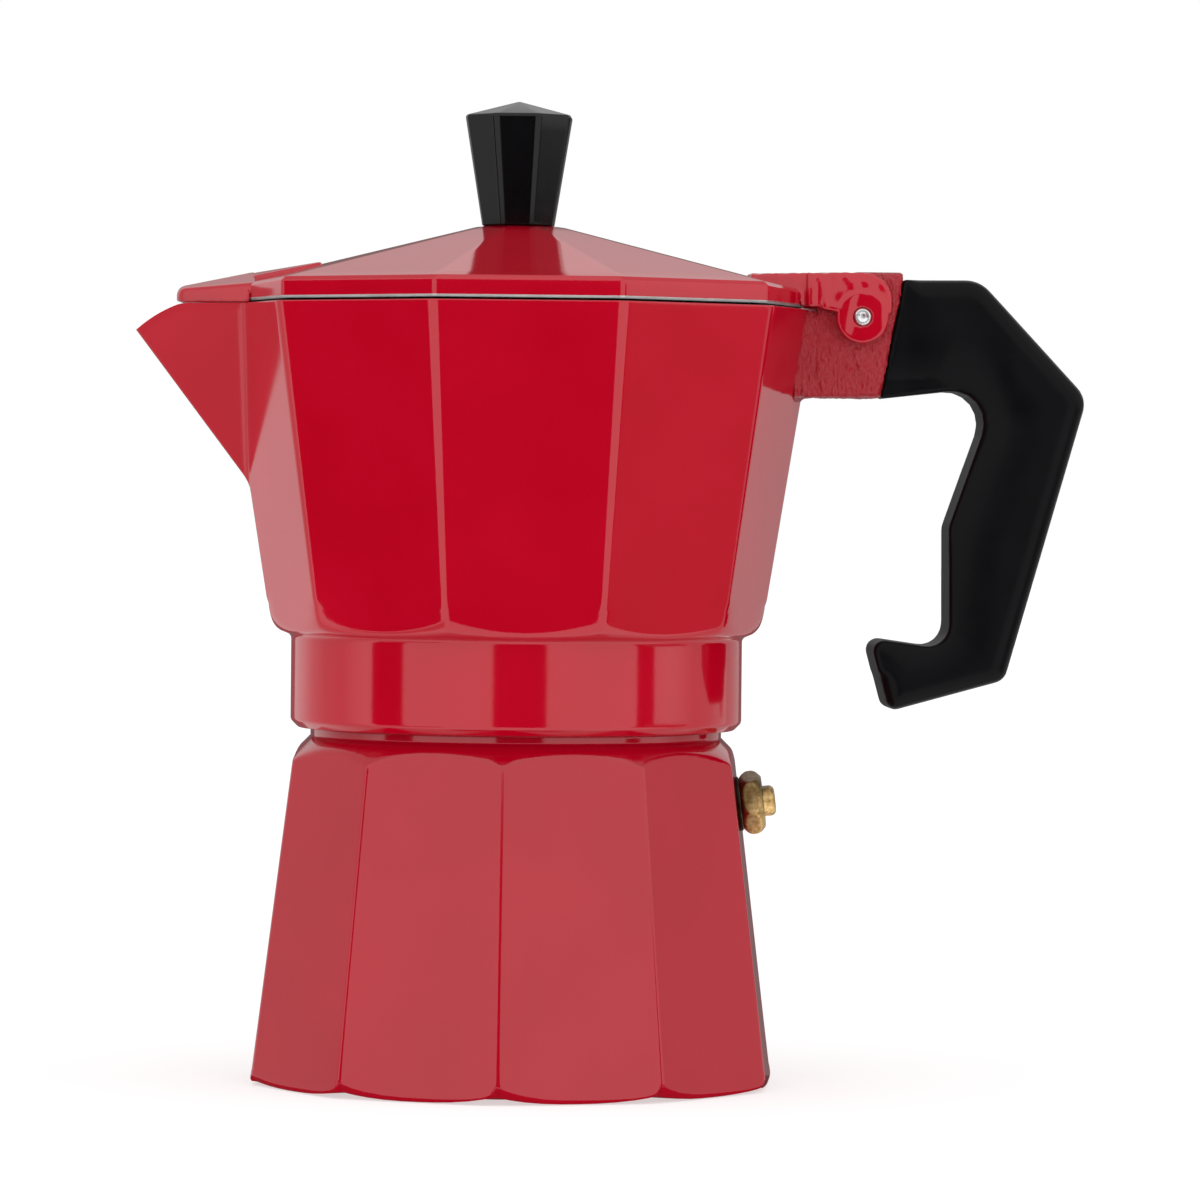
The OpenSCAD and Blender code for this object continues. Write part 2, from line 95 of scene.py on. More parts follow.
# Boiler
BASE_R, TOP_R, SHOULDER_Z = 43.2, 36.2, 55.5
BOILER_SLOPE = (BASE_R - TOP_R) / SHOULDER_Z
VALVE_ANGLE = math.radians(-5)
NECK_R, THREAD_Z = 32.9, 58.2
THREAD_ROOT_R = NECK_R - 0.8
NECK_TOP = node_box("boiler")[1][2]
MOUTH_R, CAVITY_FLOOR, CAVITY_TOP = 28.4, 4.2, 51.0
BOILER_WALL = 2.6
BOILER_ROUND = 0.35                     # of the corners between facets
SHOULDER_LOW = 49.2                     # the shoulder's cone cuts the facets above this
FOOT_IN_R, FOOT_OUT_R = 34.0, 37.5      # flat underside
FOOT_Z, FOOT_RISE = 0.5, 2.5            # where the facets turn under: at their middles, and more at corners
FOOT_LIFT, FOOT_RUN = 1.15, 0.75        # the corners' height off the table; run over rise underneath
FOOT_SIDES = 0.3                        # share of the rise and the lift that is left towards spout and handle
FOOT_TWIST = math.radians(1.2)          # the corners of the foot trail behind those of the facets

# Collector
SKIRT_R, SKIRT_Z = 36.1, node_box("collector")[0][2]
UNDER_X, UNDER_R, UNDER_Z = 35.3, 5.0, 76.5
LOW_R, RIM_R, RIM_Z = 39.25, 47.73, 124.15
COLLECTOR_SLOPE = (RIM_R - LOW_R) / (RIM_Z - UNDER_Z + UNDER_R)
COLLECTOR_WALL, COLLECTOR_LIP = 2.4, 1.2
FLOOR_Z, FLOOR_ROUND = 75.0, 3.0
THREAD_BORE_R = NECK_R + 0.4
COLUMN_R = 6.0
KEEL_LOW, KEEL_TIP = (-43.85, 96.8), (-61.1, 119.7)
SPOUT_ROOT, SPOUT_SHIFT = (-44.0, 12.0, 125.2), 4.4
LIP_X, LIP_Z, LIP_R = -47.5, 104.2, 21.0

# Lid
LID_R, LID_Z, LID_RIM = 46.9, RIM_Z + 0.32, 2.98
LID_TOP, LID_FLAT_R, LID_WALL = 136.9, 7.2, 2.0
LID_ROUND = 0.35                        # of the corners between facets
ROOF_SINK = 0.8                         # at the rim's corners over the spout and the hinge
BEAK_TIP_X, BEAK_SIDE, BEAK_FOLD_Z = -54.8, (-42.6, 12.8), 129.35
BEAK_RIDGE, RIB_HALF_W = (-31.7, 131.15), 4.5
EAR_R, EAR_TOP = 4.2, PIN_Z + 7.2
EAR_IN, EAR_OUT = 6.3, 8.5
TONGUE_X, NOTCH_X = 36.7, 45.2

# Knob
KNOB_X = -0.35
KNOB_LOW_R, KNOB_HIGH_R, KNOB_CAP = 6.2, 9.2, 2.2
KNOB_TOP = node_box("knob")[1][2]
KNOB_TURN = math.radians(-71.5)
KNOB_CHAMFER = 0.022                    # of its corners, as a share of the radius

# Bracket and handle, as side views: each corner is [x, z, radius]
BRACKET_W, HANDLE_W = 12.0, 16.4
BRACKET_SIDE = [(43, 110.2, 0), (57.57, 110.2, 0.5), (61.25, 130.2, 0.7),
                (47.2, 130.2, 6.6), (47.2, 124, 0), (43, 124, 0)]
HANDLE_OUTER = [(61.1, 129.05, 0.5), (73.3, 129.1, 5), (90.7, 110.4, 4), (77.9, 65.2, 2.6), (59.2, 60, 1.7)]
HANDLE_INNER = [(56, 71.9, 1.8), (68.8, 70.1, 3.4), (68.6, 89.6, 4), (76.5, 112.2, 5.2), (57.55, 110, 0.5)]
HANDLE_EDGES = (0.9, 2.8)               # rounding of the edges next to the hand's opening and outside
HANDLE_TIGHT = 2.3                      # how far the arm narrows towards the bracket
PIN_BORE = 1.45

# Safety valve, along its own axis from the facet outwards
VALVE_Z = 45.0
STUB_R, STUB_BACK = 3.9, -5.5
HEX_R, HEX_TURN, HEX_LOW, HEX_HIGH = 4.5 / math.cos(math.pi / 6), math.radians(-11.5), 0.52, 4.1
HEX_CHAMFER = 1.8
BOSS_R, BOSS_Z = 2.45, 6.0
ROOM_R, ROOM_Z, GUIDE_R = 2.5, 3.4, 1.25
WASHER_R = 4.35
SPRING_Z, SPRING_TURNS = (-3.35, 3.15), 6
SPRING_R, WIRE_R = 1.8, 0.2
BRASS_SHADE_FROM, BRASS_SHADE_TO = -8.5, -2.8   # X less Z, where the painted shade is full and where it ends
BRASS_SHADE_SHARE = 0.22                    # of the brass's brightness that is left under the painted shade


# ---------------------------------------------------------------- small mathematics

def smooth_min(a, b, k):
    """The smaller of two, rounded off where they are less than k apart."""
    h = np.clip(k - np.abs(a - b), 0, None) / k
    return np.minimum(a, b) - h * h * k / 4


def smooth_max(a, b, k):
    return -smooth_min(-a, -b, k)


def ease(low, high, value):
    """Rises smoothly from 0 at low to 1 at high."""
    t = np.clip((value - low) / (high - low), 0, 1)
    return t * t * (3 - 2 * t)


def facets(angle, radius, first, k, sides=SIDES):
    """Reach of a prism along a ray, with its corners rounded; first is the direction of a corner."""
    half = math.pi / sides
    turn = np.abs(np.mod(angle - first + half, 2 * half) - half)
    middle = radius * math.cos(half)
    return smooth_min(middle / np.cos(half - turn), middle / np.cos(half + turn), k)


def ring_angles(first, sides=SIDES, extra=()):
    """Directions round a prism, close together at its corners."""
    half = math.pi / sides
    near = np.radians([0, 0.2, 0.4, 0.6, 0.8, 1.0, 1.3, 1.8, 3, 6, 10, 14])
    near = near[near < half * 0.9]
    side = np.concatenate([near, [half], 2 * half - near[:0:-1]])
    turns = np.concatenate([first + 2 * half * k + side for k in range(sides)] + [np.asarray(extra, float)])
    return np.unique(np.round(np.mod(turns, 2 * math.pi), 5))


def rounded(corners, steps=6, closed=True):
    """Outline through corners, each rounded to its own radius."""
    points = []
    count = len(corners)
    for i, (x, z, radius) in enumerate(corners):
        here = np.array([x, z], dtype=float)
        if radius == 0 or (not closed and i in (0, count - 1)):
            points.append(here)
            continue
        before = np.array(corners[i - 1][:2]) - here
        after = np.array(corners[(i + 1) % count][:2]) - here
        u, v = before / np.linalg.norm(before), after / np.linalg.norm(after)
        half = math.acos(np.clip(u @ v, -1, 1)) / 2
        centre = here + radius / math.sin(half) * (u + v) / np.linalg.norm(u + v)
        start = here + u * radius / math.tan(half) - centre
        end = here + v * radius / math.tan(half) - centre
        way = np.sign(start[0] * end[1] - start[1] * end[0])
        for t in np.linspace(0, 1, steps + 1):
            a = way * t * (math.pi - 2 * half)
            points.append(centre + np.array([start[0] * math.cos(a) - start[1] * math.sin(a),
                                             start[0] * math.sin(a) + start[1] * math.cos(a)]))
    return np.array(points)


def from_path(points, x, z, closed=True):
    """Distance to a path, negative inside it if it is closed."""
    nearest = np.full(np.shape(x), np.inf)
    inside = np.zeros(np.shape(x), dtype=bool)
    ends = list(zip(points, np.roll(points, -1, axis=0)))
    for (ax, az), (bx, bz) in ends if closed else ends[:-1]:
        ex, ez = bx - ax, bz - az
        t = np.clip(((x - ax) * ex + (z - az) * ez) / (ex * ex + ez * ez), 0, 1)
        nearest = np.minimum(nearest, (x - ax - t * ex) ** 2 + (z - az - t * ez) ** 2)
        if ez != 0:
            inside ^= ((az > z) != (bz > z)) & (x < ax + (z - az) * ex / ez)
    return np.sqrt(nearest) * (np.where(inside, -1, 1) if closed else 1)


def extrude(side, across, half_width, edge):
    """A side view made solid, with its long edges rounded; edge may vary from place to place."""
    p, q = side + edge, np.abs(across) - half_width + edge
    return np.minimum(np.maximum(p, q), 0) + np.hypot(np.maximum(p, 0), np.maximum(q, 0)) - edge


def plane(points, inside):
    """Normal and offset of the plane through three points, facing away from a point inside."""
    a, b, c = (np.array(p, dtype=float) for p in points)
    normal = np.cross(b - a, c - a)
    normal /= np.linalg.norm(normal)
    if (np.array(inside) - a) @ normal > 0:
        normal = -normal
    return normal, a @ normal


def half_space(points, inside, x, y, z):
    """Distance outside the plane through three points."""
    normal, offset = plane(points, inside)
    return x * normal[0] + y * normal[1] + z * normal[2] - offset


def lumps(x, y, z, size, seed):
    """Soft random relief between about -1 and 1, with lumps of about the given size."""
    waves = 14
    draw = np.random.default_rng(seed)
    total = 0
    for _ in range(waves):
        way = draw.normal(size=3)
        way *= 2 * math.pi / (size * draw.uniform(1.4, 2.6) * np.linalg.norm(way))
        total = total + np.sin(way[0] * x + way[1] * y + way[2] * z + draw.uniform(0, 2 * math.pi))
    return total / math.sqrt(waves)


# ---------------------------------------------------------------- meshes

def new_object(name, points, faces, materials, indices=None):
    mesh = bpy.data.meshes.new(name)
    mesh.from_pydata((np.asarray(points, dtype=float) * MM).tolist(), [], faces)
    for m in materials:
        mesh.materials.append(m)
    if indices is not None:
        mesh.polygons.foreach_set("material_index", np.asarray(indices, dtype=np.int32))
    work = bmesh.new()
    work.from_mesh(mesh)
    bmesh.ops.remove_doubles(work, verts=work.verts, dist=1e-7)
    bmesh.ops.recalc_face_normals(work, faces=work.faces)
    work.to_mesh(mesh)
    work.free()
    mesh.polygons.foreach_set("use_smooth", [True] * len(mesh.polygons))
    mesh.update()
    thing = bpy.data.objects.new(name, mesh)
    bpy.context.scene.collection.objects.link(thing)
    return thing


def grid_faces(rows, columns, close_rows=False, close_columns=True):
    faces = []
    for i in range(rows if close_rows else rows - 1):
        j = (i + 1) % rows
        for a in range(columns if close_columns else columns - 1):
            b = (a + 1) % columns
            faces.append((i * columns + a, i * columns + b, j * columns + b, j * columns + a))
    return faces


def turned(name, angles, loops, materials, kinds=None, ring=False, place=None):
    """A piece made of loops round an axis: each is a radius and a height, plain or one for each direction.
    It starts and ends on the axis, or is a ring. kinds gives the material of the band above each loop."""
    points = []
    for radius, height in loops:
        r, h = np.broadcast_arrays(radius, height, angles)[:2]
        points.append(np.column_stack([r * np.cos(angles), r * np.sin(angles), h]))
    points = np.concatenate(points)
    if place is not None:
        points = np.array([place @ Vector(p) for p in points])
    bands = len(loops) if ring else len(loops) - 1
    indices = None if kinds is None else np.repeat(kinds[:bands], len(angles))
    return new_object(name, points, grid_faces(len(loops), len(angles), close_rows=ring), materials, indices)


def slope_of(field, points, step):
    """Gradient of a field at some points."""
    out = np.empty_like(points)
    for axis in range(3):
        shift = np.zeros(3)
        shift[axis] = step
        out[:, axis] = (field(*(points + shift).T) - field(*(points - shift).T)) / (2 * step)
    return out


def carved(name, field, low, high, step, materials):
    """A closed mesh of the surface where a distance field is zero: one point in each cell that it crosses."""
    axes = [np.arange(a, b + step, step) for a, b in zip(low, high)]
    value = field(*np.meshgrid(*axes, indexing="ij"))
    inside = value < 0
    corners = np.array([(i, j, k) for i in (0, 1) for j in (0, 1) for k in (0, 1)])
    size = np.array(value.shape) - 1

    def corner(array, c):
        return array[tuple(slice(o, o + n) for o, n in zip(c, size))]

    count = sum(corner(inside, c).astype(np.int8) for c in corners)
    cells = np.argwhere((count > 0) & (count < 8))
    index = np.full(size, -1)
    index[tuple(cells.T)] = np.arange(len(cells))
    at = np.stack([corner(value, c)[tuple(cells.T)] for c in corners], axis=1)
    total, hits = np.zeros((len(cells), 3)), np.zeros((len(cells), 1))
    for i, a in enumerate(corners):
        for j, b in enumerate(corners):
            if i < j and np.abs(a - b).sum() == 1:
                crossed = (at[:, i] < 0) != (at[:, j] < 0)
                t = np.where(crossed, at[:, i] / np.where(crossed, at[:, i] - at[:, j], 1), 0)[:, None]
                total += np.where(crossed[:, None], a + t * (b - a), 0)
                hits += crossed[:, None]
    points = np.array([a[0] for a in axes]) + (cells + total / hits) * step
    for _ in range(3):
        slope = slope_of(field, points, step / 20)
        move = field(*points.T)[:, None] * slope / np.maximum((slope ** 2).sum(axis=1, keepdims=True), 0.05)
        points -= np.clip(move, -step / 3, step / 3)
    faces = []
    for axis in range(3):
        u, v = (axis + 1) % 3, (axis + 2) % 3
        near = np.take(inside, range(size[axis]), axis)
        crossed = np.argwhere(near != np.take(inside, range(1, size[axis] + 1), axis))
        crossed = crossed[(crossed[:, u] > 0) & (crossed[:, u] < size[u])
                          & (crossed[:, v] > 0) & (crossed[:, v] < size[v])]
        quad = []
        for du, dv in ((-1, -1), (0, -1), (0, 0), (-1, 0)):
            cell = crossed.copy()
            cell[:, u] += du
            cell[:, v] += dv
            quad.append(index[tuple(cell.T)])
        quad = np.stack(quad, axis=1)
        out = near[tuple(crossed.T)]
        faces += quad[out].tolist() + quad[~out][:, ::-1].tolist()
    return new_object(name, points, faces, materials)


def finish_piece(piece, body, slot, *nodes):
    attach(piece, body)
    if nodes:
        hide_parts(*nodes)
    return piece


# ---------------------------------------------------------------- materials

def material(name):
    m = bpy.data.materials.new(name)
    m.use_nodes = True
    tree = m.node_tree
    return m, tree, tree.nodes["Principled BSDF"]


def add(tree, kind, links=(), **settings):
    """A node with some of its inputs linked from other nodes' outputs."""
    node = tree.nodes.new(kind)
    for key, value in settings.items():
        setattr(node, key, value)
    for socket, source in links:
        tree.links.new(source, node.inputs[socket])
    return node


def noise(tree, scale, detail=2.0, roughness=0.5, stretch=(1, 1, 1)):
    """Noise in the object's own space; scale is in lumps per millimetre."""
    place = add(tree, "ShaderNodeTexCoord")
    size = add(tree, "ShaderNodeMapping", [("Vector", place.outputs["Object"])])
    size.inputs["Scale"].default_value = [s * scale / MM for s in stretch]
    out = add(tree, "ShaderNodeTexNoise", [("Vector", size.outputs["Vector"])])
    out.inputs["Scale"].default_value = 1.0
    out.inputs["Detail"].default_value = detail
    out.inputs["Roughness"].default_value = roughness
    return out.outputs["Fac"]


def blend_colours(tree, factor, low, high):
    """Mixes two colours by a noise, whose values lie mostly between 0.3 and 0.7."""
    ramp = add(tree, "ShaderNodeValToRGB", [("Fac", factor)])
    ramp.color_ramp.elements[0].position = 0.3
    ramp.color_ramp.elements[0].color = (*low, 1)
    ramp.color_ramp.elements[1].position = 0.7
    ramp.color_ramp.elements[1].color = (*high, 1)
    return ramp.outputs["Color"]


def spread(tree, factor, low, high):
    """Maps a 0 to 1 value to a range."""
    node = add(tree, "ShaderNodeMapRange", [("Value", factor)])
    node.inputs["To Min"].default_value = low
    node.inputs["To Max"].default_value = high
    return node.outputs["Result"]


def bump(tree, height, strength, distance):
    """Surface relief; distance is in millimetres."""
    node = add(tree, "ShaderNodeBump", [("Height", height)])
    node.inputs["Strength"].default_value = strength
    node.inputs["Distance"].default_value = distance * MM
    return node


def red_enamel(name, depth=1.0, cast=0.0, haze=0.09):
    """Red stoving enamel; depth darkens it a little, which paints shade on parts that are lit less, and cast
    adds the grain of the casting beneath.
    """
    m, tree, shader = material(name)
    tone = noise(tree, 0.05, 3)
    low, high = (0.42 * depth, 0.0, 0.011 * depth), (0.46 * depth, 0.001, 0.015 * depth)
    tree.links.new(blend_colours(tree, tone, low, high), shader.inputs["Base Color"])
    tree.links.new(spread(tree, noise(tree, 0.6, 2), 0.30, 0.38), shader.inputs["Roughness"])
    shader.inputs["Specular IOR Level"].default_value = 0.0
    shader.inputs["Coat Weight"].default_value = 1.0
    shader.inputs["Coat Roughness"].default_value = haze
    shader.inputs["Coat IOR"].default_value = 1.5
    relief = bump(tree, noise(tree, 0.9, 2), 0.05, 0.05)
    if cast:
        rough = bump(tree, noise(tree, 1.5, 4, 0.6, (1, 1, 0.5)), cast, 0.8)
        tree.links.new(rough.outputs["Normal"], relief.inputs["Normal"])
    tree.links.new(relief.outputs["Normal"], shader.inputs["Normal"])
    tree.links.new(relief.outputs["Normal"], shader.inputs["Coat Normal"])
    return m


def metal(name, low, high, rough_low, rough_high, grain=1.0, relief=0.1, depth=0.03):
    """Bare metal between two colours and two roughnesses; grain is in lumps per millimetre."""
    m, tree, shader = material(name)
    shader.inputs["Metallic"].default_value = 1.0
    tree.links.new(blend_colours(tree, noise(tree, grain * 0.3, 4), low, high), shader.inputs["Base Color"])
    tree.links.new(spread(tree, noise(tree, grain, 4), rough_low, rough_high), shader.inputs["Roughness"])
    tree.links.new(bump(tree, noise(tree, grain * 2, 3), relief, depth).outputs["Normal"],
                   shader.inputs["Normal"])
    return m


def paint_brass_shade(m):
    """Painted shade: darkens the brass where X less Z is low, on the upper side of the safety valve's nut and
    next to the boiler.
    """
    tree = m.node_tree
    shader = tree.nodes["Principled BSDF"]
    colour = shader.inputs["Base Color"].links[0].from_socket
    place = add(tree, "ShaderNodeTexCoord")
    split = add(tree, "ShaderNodeSeparateXYZ", [("Vector", place.outputs["Object"])])
    height = add(tree, "ShaderNodeMath", [(0, split.outputs["X"]), (1, split.outputs["Z"])],
                 operation="SUBTRACT")
    lit_share = add(tree, "ShaderNodeMapRange", [("Value", height.outputs[0])])
    lit_share.inputs["From Min"].default_value = BRASS_SHADE_FROM * MM
    lit_share.inputs["From Max"].default_value = BRASS_SHADE_TO * MM
    lit_share.inputs["To Min"].default_value = BRASS_SHADE_SHARE
    scale = add(tree, "ShaderNodeVectorMath", [(0, colour), (1, lit_share.outputs["Result"])],
                operation="MULTIPLY")
    tree.links.new(scale.outputs["Vector"], shader.inputs["Base Color"])


def plastic(name, colour, rough_low, rough_high, relief=0.1, gloss=0.5):
    """Plastic or rubber with a fine grain, between two roughnesses."""
    m, tree, shader = material(name)
    shader.inputs["Specular IOR Level"].default_value = gloss
    lighter = tuple(c * 1.35 for c in colour)
    tree.links.new(blend_colours(tree, noise(tree, 0.15, 3), colour, lighter), shader.inputs["Base Color"])
    tree.links.new(spread(tree, noise(tree, 0.3, 3), rough_low, rough_high), shader.inputs["Roughness"])
    tree.links.new(bump(tree, noise(tree, 4.0, 2), relief, 0.03).outputs["Normal"], shader.inputs["Normal"])
    return m


RED = red_enamel("red_enamel")
# Darker copies of the same enamel: painted shade on the boiler, and on the cast bracket with its grain
RED_BOILER_SHADED = red_enamel("red_enamel_boiler_shaded", 0.87)
RED_CAST_SHADED = red_enamel("red_enamel_cast_shaded", 0.82, 1.0, 0.04)
ALUMINIUM = metal("aluminium", (0.58, 0.58, 0.58), (0.72, 0.72, 0.71), 0.28, 0.42)
CAST_ALUMINIUM = metal("cast_aluminium", (0.50, 0.50, 0.50), (0.62, 0.62, 0.61), 0.38, 0.52, grain=0.8,
                       relief=0.3, depth=0.06)
BRASS = metal("brass", (0.50, 0.28, 0.08), (1.0, 0.70, 0.32), 0.24, 0.42, grain=5.0, relief=0.6, depth=0.06)
# Painted shade on the brass: darker on the valve nut's upper side and next to the boiler
paint_brass_shade(BRASS)
# Nearly black metal for the valve's washer: painted shade in the gap between the nut and the boiler
SHADE_DARK_METAL = metal("painted_shade_metal", (0.012, 0.009, 0.008), (0.04, 0.032, 0.03), 0.50, 0.70)
STEEL = metal("zinc_steel", (0.55, 0.55, 0.55), (0.80, 0.80, 0.82), 0.20, 0.34, grain=1.4)
BLACK = plastic("black_plastic", (0.002, 0.002, 0.0026), 0.27, 0.36, gloss=0.08)
GLOSS_BLACK = plastic("black_knob", (0.0025, 0.0025, 0.003), 0.12, 0.20, relief=0.05, gloss=0.24)
RUBBER = plastic("rubber", (0.55, 0.53, 0.47), 0.55, 0.70, relief=0.2)


# ---------------------------------------------------------------- stage

def card(name, points, faces, level):
    """A studio card that shows only as a reflection; level is how bright it looks."""
    m, tree, shader = material(name)
    shader.inputs["Base Color"].default_value = (0, 0, 0, 1)
    shader.inputs["Specular IOR Level"].default_value = 0.0
    shader.inputs["Emission Color"].default_value = (1, 1, 1, 1)
    shader.inputs["Emission Strength"].default_value = level
    thing = new_object(name, points, faces, [m])
    thing.visible_camera = thing.visible_diffuse = thing.visible_shadow = False
    thing.visible_transmission = False


def floor():
    """Pale floor that doesn't show in reflections, and a dark disc under the foot that does: a painted
    contact shadow, seen only in reflections.
    """
    m, tree, shader = material("floor")
    shader.inputs["Base Color"].default_value = (0.5, 0.5, 0.5, 1)
    shader.inputs["Roughness"].default_value = 0.9
    shader.inputs["Specular IOR Level"].default_value = 0.0
    shader.inputs["Emission Color"].default_value = (1, 1, 1, 1)
    shader.inputs["Emission Strength"].default_value = 0.58
    size = 6000
    plane = new_object("floor", [(-size, -size, 0), (size, -size, 0), (size, size, 0), (-size, size, 0)],
                       [(0, 1, 2, 3)], [m])
    plane.visible_glossy = False
    # Painted contact shadow: a dark disc under the foot, seen only in reflections
    radius = 46
    steps = np.radians(np.arange(0, 360, 10))
    rim = [(radius * math.cos(a), radius * math.sin(a), 0.02) for a in steps]
    card("painted_shadow_under_foot", rim, [tuple(range(len(rim)))], 0.05)


# Cards round the object, in degrees as seen from it: direction from -Y, half the width at the top and at the
# bottom, elevation of the bottom and of the top; and the level
CARDS = [
    (0, 13.2, 13.2, -28, 9, 0), (-69.5, 9.3, 9.3, -26, 9, 0), (66.2, 5.2, 5.2, -26, 4, 0.03),
    (80, 14, 14, -28, -6, 0.28), (144, 12, 12, -40, 8, 0.55), (180, 24, 24, -20, 9, 0.15),
    (-65, 20, 20, -44, -29, 0.6), (126, 5, 0.5, -3.7, -2.4, 0), (126, 5, 5, -2.4, 9, 0)]


def cards():
    """Sets up the cards, far off; their elevations are taken from a point on the object's axis."""
    distance, eye_z = 1000.0, 90
    for number, (middle, half, low_half, low, high, level) in enumerate(CARDS):
        steps = np.linspace(-1, 1, 9)
        points = []
        for e, w in ((low, low_half), (high, half)):
            for a in np.radians(middle + steps * w):
                points.append((distance * math.sin(a), -distance * math.cos(a),
                               eye_z + distance * math.tan(math.radians(e))))
        card(f"card_{number}", points, grid_faces(2, 9, close_columns=False), level)


def world():
    """White to the camera. It lights the object from all round, and more from the front."""
    w = bpy.data.worlds.new("studio")
    bpy.context.scene.world = w
    w.use_nodes = True
    tree = w.node_tree
    back = tree.nodes["Background"]
    back.inputs["Color"].default_value = (1, 1, 1, 1)
    # The studio seen in gloss is bright in front of the object and dim behind it
    place = add(tree, "ShaderNodeTexCoord")
    split = add(tree, "ShaderNodeSeparateXYZ", [("Vector", place.outputs["Generated"])])
    depth = add(tree, "ShaderNodeMapRange", [("Value", split.outputs["Y"])])
    depth.inputs["From Min"].default_value = -0.1
    dim = add(tree, "ShaderNodeValToRGB", [("Fac", depth.outputs["Result"])])
    ramp = dim.color_ramp
    ramp.elements.remove(ramp.elements[0])
    ramp.elements[0].color = (0.12, 0.12, 0.12, 1)
    for position, level in ((0.0, 1.5), (0.25, 0.75), (0.5, 0.65), (0.79, 0.95), (0.92, 0.85)):
        ramp.elements.new(position).color = (level, level, level, 1)
    path = add(tree, "ShaderNodeLightPath")
    front = add(tree, "ShaderNodeMapRange", [("Value", split.outputs["Y"])])
    front.inputs["From Min"].default_value = -1.0
    front.inputs["To Min"].default_value = 1.45
    front.inputs["To Max"].default_value = 0.55
    wash = add(tree, "ShaderNodeMix", [("Factor", path.outputs["Is Diffuse Ray"]),
                                       ("B", front.outputs["Result"])])
    wash.inputs["A"].default_value = 1.0
    level = add(tree, "ShaderNodeMix", [("Factor", path.outputs["Is Glossy Ray"]),
                                        ("A", wash.outputs["Result"]), ("B", dim.outputs["Color"])])
    tree.links.new(level.outputs["Result"], back.inputs["Strength"])


def camera():
    """Stands a little to the spout's side, level with the collector, and leans by half a degree."""
    azimuth, distance, height, roll = math.radians(-1.744), 1051.6, 95.85, math.radians(0.543)
    centre_right, centre_up = 13.29, 77.4
    focal_length = 196.9
    right = Vector((math.cos(azimuth), math.sin(azimuth), 0))
    back = Vector((math.sin(azimuth), -math.cos(azimuth), 0))
    data = bpy.data.cameras.new("camera")
    data.sensor_width = 36
    data.lens = focal_length
    data.clip_start, data.clip_end = 0.05, 50
    thing = bpy.data.objects.new("camera", data)
    place = back * distance + Vector((0, 0, height))
    target = right * centre_right + Vector((0, 0, centre_up))
    aim = (target - place).to_track_quat("-Z", "Y").to_matrix()
    thing.matrix_world = Matrix.Translation(place * MM) @ (aim @ Matrix.Rotation(roll, 3, "Z")).to_4x4()
    bpy.context.scene.collection.objects.link(thing)
    bpy.context.scene.camera = thing


# ---------------------------------------------------------------- boiler

def near_corner(turn):
    """1 at the corners of a ten-sided prism and 0 in the middle of its sides."""
    away = np.abs(np.mod(turn + HALF_SIDE, 2 * HALF_SIDE) - HALF_SIDE)
    return 1 - away / HALF_SIDE


def boiler_loops(angles):
    """Outer skin from the foot to the shoulder."""
    first = VALVE_ANGLE + HALF_SIDE
    loops = []
    share = FOOT_SIDES + (1 - FOOT_SIDES) * np.abs(np.sin(angles))
    low = FOOT_LIFT * near_corner(angles - first + FOOT_TWIST) ** 2.5 * share
    before = np.mod(angles - first, 2 * HALF_SIDE) < HALF_SIDE
    high = FOOT_Z + FOOT_RISE * share * near_corner(angles - first) ** np.where(before, 3, 9)
    for t in (0.0, 0.5, 1.0):
        loops.append((FOOT_IN_R + (FOOT_OUT_R - FOOT_IN_R) * t, low * (0.5 + 0.5 * t)))
    for t in np.linspace(0, 1, 15)[1:]:
        z = low + (high + 1.5 - low) * t
        twist = FOOT_TWIST * np.clip(1 - z / (FOOT_Z + FOOT_RISE), 0, 1)
        side = facets(angles + twist, BASE_R - BOILER_SLOPE * z, first, 0.5)
        under = side - FOOT_RUN * (high - z)
        loops.append((smooth_min(side, under, 0.22) - 0.3 * (1 - t) ** 6, z))
    foot = loops[-1][1]
    for t in np.linspace(0, 1, 8)[1:]:
        z = foot + (SHOULDER_LOW - 0.7 - foot) * t
        loops.append((facets(angles, BASE_R - BOILER_SLOPE * z, first, BOILER_ROUND), z))
    for z in np.linspace(SHOULDER_LOW, SHOULDER_Z, 26):
        side = facets(angles, BASE_R - BOILER_SLOPE * z, first, BOILER_ROUND)
        loops.append((smooth_min(side, SHOULDER_Z + NECK_R - z, 0.35), z))
    return loops


def make_boiler():
    """The shell with its cavity, and the thread on its neck."""
    angles = ring_angles(VALVE_ANGLE + HALF_SIDE)
    low_r = FLAT * (BASE_R - 8 * BOILER_SLOPE) - BOILER_WALL
    high_r = FLAT * (BASE_R - CAVITY_TOP * BOILER_SLOPE) - BOILER_WALL
    neck_in = CAVITY_TOP + high_r - MOUTH_R
    base = [(0, 0.6), (32.5, 0.6), (33.3, 0.2)]
    skin = boiler_loops(angles)
    band = [(NECK_R, SHOULDER_Z + 0.15), (NECK_R, THREAD_Z - 0.2), (NECK_R - 0.15, THREAD_Z)]
    inside = rounded([
        (NECK_R - 0.15, THREAD_Z, 0), (THREAD_ROOT_R, THREAD_Z + 0.5, 0.2), (THREAD_ROOT_R, NECK_TOP, 0.5),
        (MOUTH_R, NECK_TOP, 0.3), (MOUTH_R, neck_in, 2), (high_r, CAVITY_TOP, 2),
        (low_r, CAVITY_FLOOR, 6), (0, CAVITY_FLOOR, 0)], closed=False)[1:]
    loops = base + skin + band + [tuple(p) for p in inside]
    kinds = [0] * (len(base) + len(skin) + len(band) - 1) + [1] * len(inside)
    shell = turned("boiler_shell", angles, loops, [RED_BOILER_SHADED, CAST_ALUMINIUM], kinds)
    finish_piece(shell, "boiler", "red_enamel", "boiler")
    thread("boiler_thread", THREAD_ROOT_R - 0.2, NECK_R + 0.05, 58.8, 65.6, 0.0, "boiler", "aluminium")


